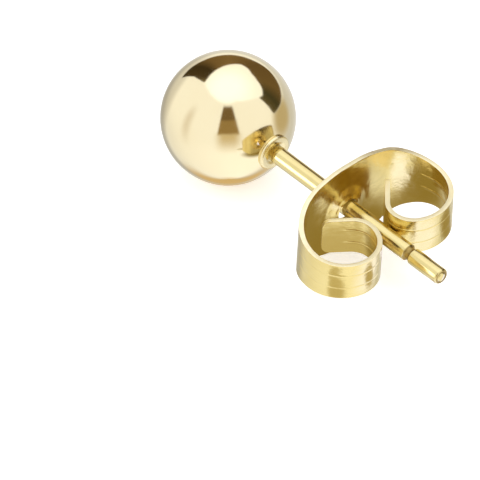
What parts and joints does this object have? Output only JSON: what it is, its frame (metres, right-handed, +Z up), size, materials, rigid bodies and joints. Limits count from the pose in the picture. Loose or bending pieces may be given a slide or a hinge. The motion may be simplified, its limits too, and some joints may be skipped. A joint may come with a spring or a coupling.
{
  "type": "ball stud earring with butterfly back",
  "caption": "Polished gold-coloured ball on a straight notched post, with a stamped butterfly back whose two curled arms grip the post.",
  "frame": {"origin": "centre of the bounding box's bottom face, on the surface that the ball and the back's lower edge rest on", "axes": "+Y level and above the post, from the ball towards the post's tip, which dips by about 5.3 degrees; +X across the back's two curled arms; +Z up"},
  "size_m": [0.0082, 0.0168, 0.006],
  "materials": {
    "polished_gold": "mirror-polished pale yellow gold plating",
    "stamped_gold": "bright rolled strip in yellow gold plating, with sheared edges"
  },
  "bodies": {
    "stud": {"ball_stud": "polished_gold"},
    "back": {"butterfly_back": "stamped_gold"}
  },
  "joints": [
    {"name": "back_slide", "type": "slide", "parent": "stud", "child": "back", "axis": [0, 0.9958, -0.0917], "range_m": [-0.0044, 0.0065]}
  ]
}
